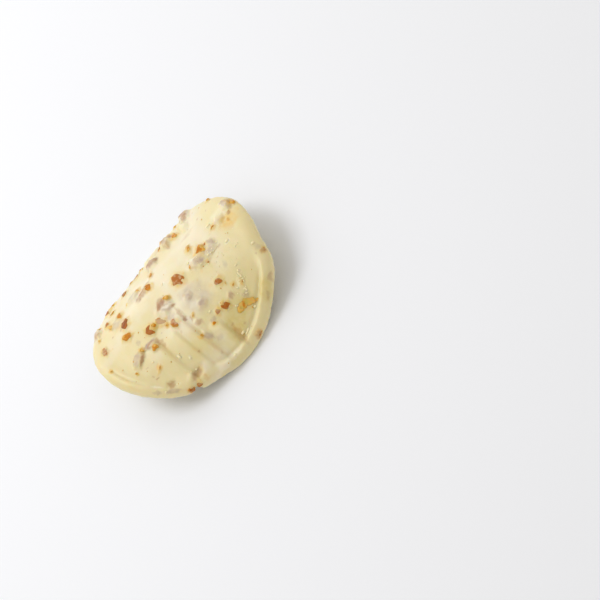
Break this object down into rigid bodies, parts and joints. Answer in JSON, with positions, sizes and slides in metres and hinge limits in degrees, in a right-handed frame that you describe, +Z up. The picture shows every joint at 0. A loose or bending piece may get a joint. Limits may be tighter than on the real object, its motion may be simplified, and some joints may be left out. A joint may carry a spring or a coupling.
{
  "type": "white chocolate tuile",
  "caption": "Thin round of white chocolate with chopped caramelised nuts, bent into a roof-tile arch; a sweet that lies crown up on two small feet of its rim.",
  "frame": {"origin": "on the surface that the tuile lies on, under the middle of its bounding box", "axes": "+Z up through the crown of the arch, +X along its ridge, which is its longest extent, and +Y across the arch"},
  "size_m": [0.0674, 0.0576, 0.0164],
  "materials": {
    "white_chocolate": "cream-yellow white chocolate, satin, slightly see-through",
    "roasted_nut": "chopped nut, roasted red-brown, with a thin glaze of caramel",
    "caramel": "glassy amber caramel, from pale yellow where thin to orange-brown"
  },
  "bodies": {
    "root": {"tuile": "white_chocolate"}
  },
  "joints": []
}
